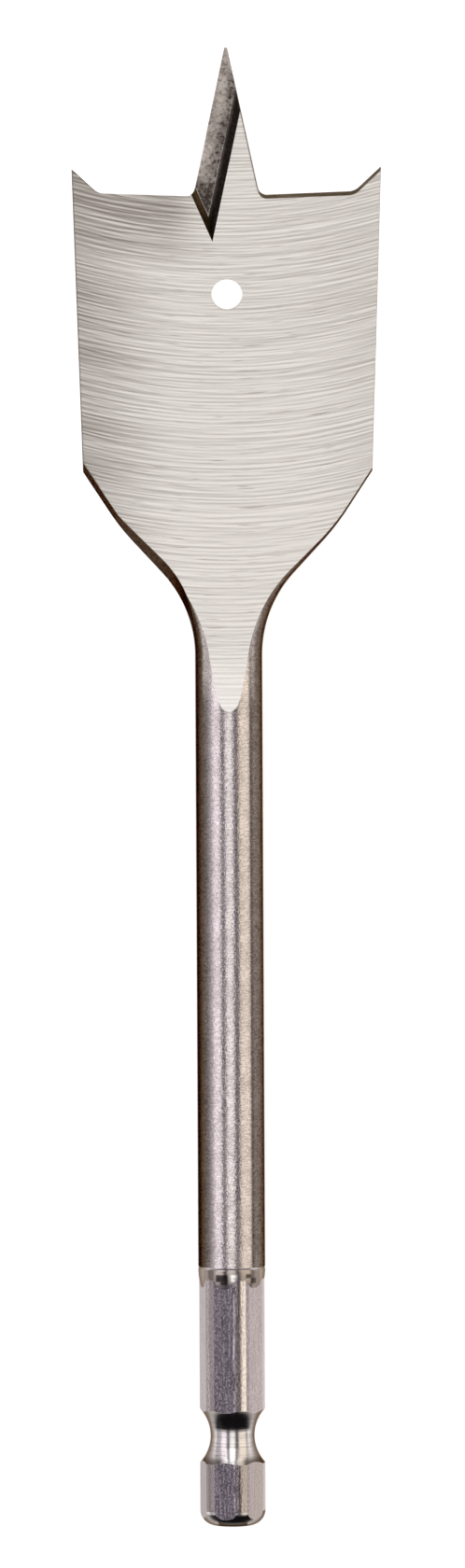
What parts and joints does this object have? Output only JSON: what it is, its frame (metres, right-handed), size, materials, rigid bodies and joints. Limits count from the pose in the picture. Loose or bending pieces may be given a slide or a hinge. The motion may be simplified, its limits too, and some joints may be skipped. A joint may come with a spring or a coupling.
{
  "type": "spade drill bit",
  "caption": "Flat steel spade bit that bores wide holes in wood: centre point, lips and spurs on a ground blade, a round shank and a hex drive end with a catch groove.",
  "frame": {"origin": "on the surface that the bit lies on, below the middle of its length and width", "axes": "+Y along the shank towards the tip of the point, +Z out of the front face of the blade, +X across the blade"},
  "size_m": [0.0318, 0.1524, 0.0069],
  "materials": {
    "steel": "ground blade faces, blasted shank and drawn hex, bare steel"
  },
  "bodies": {
    "root": {"spade_bit": "steel"}
  },
  "joints": []
}
